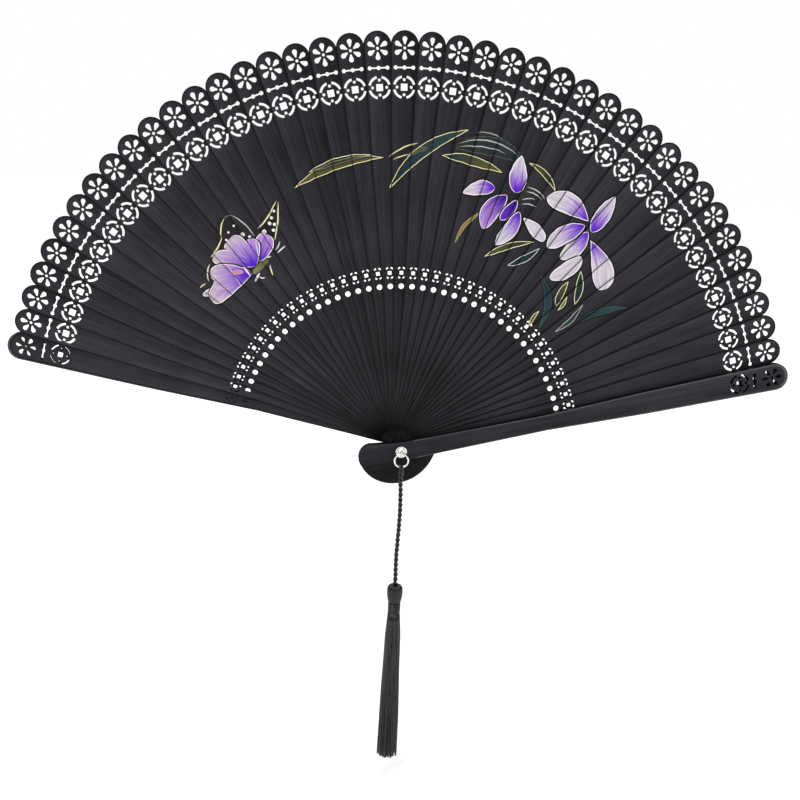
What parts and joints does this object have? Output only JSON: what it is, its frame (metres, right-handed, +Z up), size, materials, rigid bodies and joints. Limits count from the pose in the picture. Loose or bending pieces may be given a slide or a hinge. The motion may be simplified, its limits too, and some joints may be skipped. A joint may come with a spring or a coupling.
{
  "type": "folding fan",
  "caption": "Open folding fan of overlapping pierced and painted wooden leaves on one rivet, with thick outer guards, a linking ribbon and a cord tassel on a wire ring.",
  "frame": {"origin": "on the rivet's axis, halfway through the stack of leaves, where the head of the fan is held", "axes": "+Z up along the middle line of the open fan, +X across the open fan to the front guard's side, the painted front faces -Y"},
  "size_m": [0.371, 0.0352, 0.3529],
  "materials": {
    "dyed_wood": "black dyed sandalwood, satin, fine lengthwise grain, front painted with flowers",
    "bright_metal": "bright nickel plate",
    "ribbon": "narrow woven black ribbon",
    "cord": "black two-ply twisted cord, slightly glossy",
    "tassel_threads": "fine black rayon threads"
  },
  "bodies": {
    "rivet": {"rivet": "bright_metal", "front_washer": "bright_metal", "rear_washer": "bright_metal", "linking_ribbon": "ribbon"},
    "front_guard": {"front_guard": "dyed_wood"},
    "rear_guard": {"rear_guard": "dyed_wood"},
    "leaf_01": {"leaf_01": "dyed_wood"},
    "leaf_02": {"leaf_02": "dyed_wood"},
    "leaf_03": {"leaf_03": "dyed_wood"},
    "leaf_04": {"leaf_04": "dyed_wood"},
    "leaf_05": {"leaf_05": "dyed_wood"},
    "leaf_06": {"leaf_06": "dyed_wood"},
    "leaf_07": {"leaf_07": "dyed_wood"},
    "leaf_08": {"leaf_08": "dyed_wood"},
    "leaf_09": {"leaf_09": "dyed_wood"},
    "leaf_10": {"leaf_10": "dyed_wood"},
    "leaf_11": {"leaf_11": "dyed_wood"},
    "leaf_12": {"leaf_12": "dyed_wood"},
    "leaf_13": {"leaf_13": "dyed_wood"},
    "leaf_14": {"leaf_14": "dyed_wood"},
    "leaf_15": {"leaf_15": "dyed_wood"},
    "leaf_16": {"leaf_16": "dyed_wood"},
    "leaf_17": {"leaf_17": "dyed_wood"},
    "leaf_18": {"leaf_18": "dyed_wood"},
    "leaf_19": {"leaf_19": "dyed_wood"},
    "leaf_20": {"leaf_20": "dyed_wood"},
    "leaf_21": {"leaf_21": "dyed_wood"},
    "leaf_22": {"leaf_22": "dyed_wood"},
    "leaf_23": {"leaf_23": "dyed_wood"},
    "leaf_24": {"leaf_24": "dyed_wood"},
    "leaf_25": {"leaf_25": "dyed_wood"},
    "leaf_26": {"leaf_26": "dyed_wood"},
    "leaf_27": {"leaf_27": "dyed_wood"},
    "leaf_28": {"leaf_28": "dyed_wood"},
    "leaf_29": {"leaf_29": "dyed_wood"},
    "leaf_30": {"leaf_30": "dyed_wood"},
    "leaf_31": {"leaf_31": "dyed_wood"},
    "leaf_32": {"leaf_32": "dyed_wood"},
    "leaf_33": {"leaf_33": "dyed_wood"},
    "leaf_34": {"leaf_34": "dyed_wood"},
    "leaf_35": {"leaf_35": "dyed_wood"},
    "leaf_36": {"leaf_36": "dyed_wood"},
    "leaf_37": {"leaf_37": "dyed_wood"},
    "leaf_38": {"leaf_38": "dyed_wood"},
    "leaf_39": {"leaf_39": "dyed_wood"},
    "leaf_40": {"leaf_40": "dyed_wood"},
    "leaf_41": {"leaf_41": "dyed_wood"},
    "leaf_42": {"leaf_42": "dyed_wood"},
    "swivel_eye": {"swivel_eye": "bright_metal"},
    "ring": {"hanging_ring": "bright_metal"},
    "tassel": {"tassel_cord": "cord", "tassel_head": "cord", "tassel_binding": "cord", "tassel_skirt": "tassel_threads"}
  },
  "joints": [
    {"name": "fan_fold", "type": "hinge", "parent": "rivet", "child": "front_guard", "pos_m": [0, 0, 0], "axis": [0, -1, 0], "range_deg": [0, 77.03], "deforming": ["linking_ribbon"]},
    {"name": "leaf_01_fold", "type": "hinge", "parent": "rivet", "child": "leaf_01", "pos_m": [0, 0, 0], "axis": [0, -1, 0], "range_deg": [0, 76.88]},
    {"name": "leaf_02_fold", "type": "hinge", "parent": "rivet", "child": "leaf_02", "pos_m": [0, 0, 0], "axis": [0, -1, 0], "range_deg": [0, 73.13]},
    {"name": "leaf_03_fold", "type": "hinge", "parent": "rivet", "child": "leaf_03", "pos_m": [0, 0, 0], "axis": [0, -1, 0], "range_deg": [0, 69.38]},
    {"name": "leaf_04_fold", "type": "hinge", "parent": "rivet", "child": "leaf_04", "pos_m": [0, 0, 0], "axis": [0, -1, 0], "range_deg": [0, 65.62]},
    {"name": "leaf_05_fold", "type": "hinge", "parent": "rivet", "child": "leaf_05", "pos_m": [0, 0, 0], "axis": [0, -1, 0], "range_deg": [0, 61.88]},
    {"name": "leaf_06_fold", "type": "hinge", "parent": "rivet", "child": "leaf_06", "pos_m": [0, 0, 0], "axis": [0, -1, 0], "range_deg": [0, 58.13]},
    {"name": "leaf_07_fold", "type": "hinge", "parent": "rivet", "child": "leaf_07", "pos_m": [0, 0, 0], "axis": [0, -1, 0], "range_deg": [0, 54.38]},
    {"name": "leaf_08_fold", "type": "hinge", "parent": "rivet", "child": "leaf_08", "pos_m": [0, 0, 0], "axis": [0, -1, 0], "range_deg": [0, 50.62]},
    {"name": "leaf_09_fold", "type": "hinge", "parent": "rivet", "child": "leaf_09", "pos_m": [0, 0, 0], "axis": [0, -1, 0], "range_deg": [0, 46.88]},
    {"name": "leaf_10_fold", "type": "hinge", "parent": "rivet", "child": "leaf_10", "pos_m": [0, 0, 0], "axis": [0, -1, 0], "range_deg": [0, 43.13]},
    {"name": "leaf_11_fold", "type": "hinge", "parent": "rivet", "child": "leaf_11", "pos_m": [0, 0, 0], "axis": [0, -1, 0], "range_deg": [0, 39.38]},
    {"name": "leaf_12_fold", "type": "hinge", "parent": "rivet", "child": "leaf_12", "pos_m": [0, 0, 0], "axis": [0, -1, 0], "range_deg": [0, 35.62]},
    {"name": "leaf_13_fold", "type": "hinge", "parent": "rivet", "child": "leaf_13", "pos_m": [0, 0, 0], "axis": [0, -1, 0], "range_deg": [0, 31.88]},
    {"name": "leaf_14_fold", "type": "hinge", "parent": "rivet", "child": "leaf_14", "pos_m": [0, 0, 0], "axis": [0, -1, 0], "range_deg": [0, 28.13]},
    {"name": "leaf_15_fold", "type": "hinge", "parent": "rivet", "child": "leaf_15", "pos_m": [0, 0, 0], "axis": [0, -1, 0], "range_deg": [0, 24.38]},
    {"name": "leaf_16_fold", "type": "hinge", "parent": "rivet", "child": "leaf_16", "pos_m": [0, 0, 0], "axis": [0, -1, 0], "range_deg": [0, 20.62]},
    {"name": "leaf_17_fold", "type": "hinge", "parent": "rivet", "child": "leaf_17", "pos_m": [0, 0, 0], "axis": [0, -1, 0], "range_deg": [0, 16.88]},
    {"name": "leaf_18_fold", "type": "hinge", "parent": "rivet", "child": "leaf_18", "pos_m": [0, 0, 0], "axis": [0, -1, 0], "range_deg": [0, 13.12]},
    {"name": "leaf_19_fold", "type": "hinge", "parent": "rivet", "child": "leaf_19", "pos_m": [0, 0, 0], "axis": [0, -1, 0], "range_deg": [0, 9.38]},
    {"name": "leaf_20_fold", "type": "hinge", "parent": "rivet", "child": "leaf_20", "pos_m": [0, 0, 0], "axis": [0, -1, 0], "range_deg": [0, 5.63]},
    {"name": "leaf_21_fold", "type": "hinge", "parent": "rivet", "child": "leaf_21", "pos_m": [0, 0, 0], "axis": [0, -1, 0], "range_deg": [0, 1.88]},
    {"name": "leaf_22_fold", "type": "hinge", "parent": "rivet", "child": "leaf_22", "pos_m": [0, 0, 0], "axis": [0, -1, 0], "range_deg": [-1.88, 0]},
    {"name": "leaf_23_fold", "type": "hinge", "parent": "rivet", "child": "leaf_23", "pos_m": [0, 0, 0], "axis": [0, -1, 0], "range_deg": [-5.63, 0]},
    {"name": "leaf_24_fold", "type": "hinge", "parent": "rivet", "child": "leaf_24", "pos_m": [0, 0, 0], "axis": [0, -1, 0], "range_deg": [-9.38, 0]},
    {"name": "leaf_25_fold", "type": "hinge", "parent": "rivet", "child": "leaf_25", "pos_m": [0, 0, 0], "axis": [0, -1, 0], "range_deg": [-13.12, 0]},
    {"name": "leaf_26_fold", "type": "hinge", "parent": "rivet", "child": "leaf_26", "pos_m": [0, 0, 0], "axis": [0, -1, 0], "range_deg": [-16.88, 0]},
    {"name": "leaf_27_fold", "type": "hinge", "parent": "rivet", "child": "leaf_27", "pos_m": [0, 0, 0], "axis": [0, -1, 0], "range_deg": [-20.62, 0]},
    {"name": "leaf_28_fold", "type": "hinge", "parent": "rivet", "child": "leaf_28", "pos_m": [0, 0, 0], "axis": [0, -1, 0], "range_deg": [-24.38, 0]},
    {"name": "leaf_29_fold", "type": "hinge", "parent": "rivet", "child": "leaf_29", "pos_m": [0, 0, 0], "axis": [0, -1, 0], "range_deg": [-28.13, 0]},
    {"name": "leaf_30_fold", "type": "hinge", "parent": "rivet", "child": "leaf_30", "pos_m": [0, 0, 0], "axis": [0, -1, 0], "range_deg": [-31.88, 0]},
    {"name": "leaf_31_fold", "type": "hinge", "parent": "rivet", "child": "leaf_31", "pos_m": [0, 0, 0], "axis": [0, -1, 0], "range_deg": [-35.62, 0]},
    {"name": "leaf_32_fold", "type": "hinge", "parent": "rivet", "child": "leaf_32", "pos_m": [0, 0, 0], "axis": [0, -1, 0], "range_deg": [-39.38, 0]},
    {"name": "leaf_33_fold", "type": "hinge", "parent": "rivet", "child": "leaf_33", "pos_m": [0, 0, 0], "axis": [0, -1, 0], "range_deg": [-43.13, 0]},
    {"name": "leaf_34_fold", "type": "hinge", "parent": "rivet", "child": "leaf_34", "pos_m": [0, 0, 0], "axis": [0, -1, 0], "range_deg": [-46.88, 0]},
    {"name": "leaf_35_fold", "type": "hinge", "parent": "rivet", "child": "leaf_35", "pos_m": [0, 0, 0], "axis": [0, -1, 0], "range_deg": [-50.62, 0]},
    {"name": "leaf_36_fold", "type": "hinge", "parent": "rivet", "child": "leaf_36", "pos_m": [0, 0, 0], "axis": [0, -1, 0], "range_deg": [-54.38, 0]},
    {"name": "leaf_37_fold", "type": "hinge", "parent": "rivet", "child": "leaf_37", "pos_m": [0, 0, 0], "axis": [0, -1, 0], "range_deg": [-58.13, 0]},
    {"name": "leaf_38_fold", "type": "hinge", "parent": "rivet", "child": "leaf_38", "pos_m": [0, 0, 0], "axis": [0, -1, 0], "range_deg": [-61.88, 0]},
    {"name": "leaf_39_fold", "type": "hinge", "parent": "rivet", "child": "leaf_39", "pos_m": [0, 0, 0], "axis": [0, -1, 0], "range_deg": [-65.62, 0]},
    {"name": "leaf_40_fold", "type": "hinge", "parent": "rivet", "child": "leaf_40", "pos_m": [0, 0, 0], "axis": [0, -1, 0], "range_deg": [-69.38, 0]},
    {"name": "leaf_41_fold", "type": "hinge", "parent": "rivet", "child": "leaf_41", "pos_m": [0, 0, 0], "axis": [0, -1, 0], "range_deg": [-73.13, 0]},
    {"name": "leaf_42_fold", "type": "hinge", "parent": "rivet", "child": "leaf_42", "pos_m": [0, 0, 0], "axis": [0, -1, 0], "range_deg": [-76.88, 0]},
    {"name": "rear_guard_fold", "type": "hinge", "parent": "rivet", "child": "rear_guard", "pos_m": [0, 0, 0], "axis": [0, -1, 0], "range_deg": [-77.03, 0]},
    {"name": "tassel_swing", "type": "hinge", "parent": "rivet", "child": "swivel_eye", "pos_m": [0, -0.01562, 0], "axis": [0, 1, 0], "range_deg": [-70, 70]},
    {"name": "ring_swing", "type": "hinge", "parent": "swivel_eye", "child": "ring", "pos_m": [0, -0.01562, -0.0002], "axis": [-1, 0, 0], "range_deg": [0, 80]},
    {"name": "cord_swing", "type": "hinge", "parent": "ring", "child": "tassel", "pos_m": [0, -0.01562, -0.0067], "axis": [-1, 0, 0], "range_deg": [0, 80]}
  ],
  "couplings": [
    {"joint": "leaf_01_fold", "follows": "fan_fold", "ratio": 0.99805},
    {"joint": "leaf_02_fold", "follows": "fan_fold", "ratio": 0.94937},
    {"joint": "leaf_03_fold", "follows": "fan_fold", "ratio": 0.90068},
    {"joint": "leaf_04_fold", "follows": "fan_fold", "ratio": 0.852},
    {"joint": "leaf_05_fold", "follows": "fan_fold", "ratio": 0.80331},
    {"joint": "leaf_06_fold", "follows": "fan_fold", "ratio": 0.75463},
    {"joint": "leaf_07_fold", "follows": "fan_fold", "ratio": 0.70594},
    {"joint": "leaf_08_fold", "follows": "fan_fold", "ratio": 0.65725},
    {"joint": "leaf_09_fold", "follows": "fan_fold", "ratio": 0.60857},
    {"joint": "leaf_10_fold", "follows": "fan_fold", "ratio": 0.55988},
    {"joint": "leaf_11_fold", "follows": "fan_fold", "ratio": 0.5112},
    {"joint": "leaf_12_fold", "follows": "fan_fold", "ratio": 0.46251},
    {"joint": "leaf_13_fold", "follows": "fan_fold", "ratio": 0.41383},
    {"joint": "leaf_14_fold", "follows": "fan_fold", "ratio": 0.36514},
    {"joint": "leaf_15_fold", "follows": "fan_fold", "ratio": 0.31646},
    {"joint": "leaf_16_fold", "follows": "fan_fold", "ratio": 0.26777},
    {"joint": "leaf_17_fold", "follows": "fan_fold", "ratio": 0.21908},
    {"joint": "leaf_18_fold", "follows": "fan_fold", "ratio": 0.1704},
    {"joint": "leaf_19_fold", "follows": "fan_fold", "ratio": 0.12171},
    {"joint": "leaf_20_fold", "follows": "fan_fold", "ratio": 0.073028},
    {"joint": "leaf_21_fold", "follows": "fan_fold", "ratio": 0.024343},
    {"joint": "leaf_22_fold", "follows": "fan_fold", "ratio": -0.024343},
    {"joint": "leaf_23_fold", "follows": "fan_fold", "ratio": -0.073028},
    {"joint": "leaf_24_fold", "follows": "fan_fold", "ratio": -0.12171},
    {"joint": "leaf_25_fold", "follows": "fan_fold", "ratio": -0.1704},
    {"joint": "leaf_26_fold", "follows": "fan_fold", "ratio": -0.21908},
    {"joint": "leaf_27_fold", "follows": "fan_fold", "ratio": -0.26777},
    {"joint": "leaf_28_fold", "follows": "fan_fold", "ratio": -0.31646},
    {"joint": "leaf_29_fold", "follows": "fan_fold", "ratio": -0.36514},
    {"joint": "leaf_30_fold", "follows": "fan_fold", "ratio": -0.41383},
    {"joint": "leaf_31_fold", "follows": "fan_fold", "ratio": -0.46251},
    {"joint": "leaf_32_fold", "follows": "fan_fold", "ratio": -0.5112},
    {"joint": "leaf_33_fold", "follows": "fan_fold", "ratio": -0.55988},
    {"joint": "leaf_34_fold", "follows": "fan_fold", "ratio": -0.60857},
    {"joint": "leaf_35_fold", "follows": "fan_fold", "ratio": -0.65725},
    {"joint": "leaf_36_fold", "follows": "fan_fold", "ratio": -0.70594},
    {"joint": "leaf_37_fold", "follows": "fan_fold", "ratio": -0.75463},
    {"joint": "leaf_38_fold", "follows": "fan_fold", "ratio": -0.80331},
    {"joint": "leaf_39_fold", "follows": "fan_fold", "ratio": -0.852},
    {"joint": "leaf_40_fold", "follows": "fan_fold", "ratio": -0.90068},
    {"joint": "leaf_41_fold", "follows": "fan_fold", "ratio": -0.94937},
    {"joint": "leaf_42_fold", "follows": "fan_fold", "ratio": -0.99805},
    {"joint": "rear_guard_fold", "follows": "fan_fold", "ratio": -1}
  ]
}
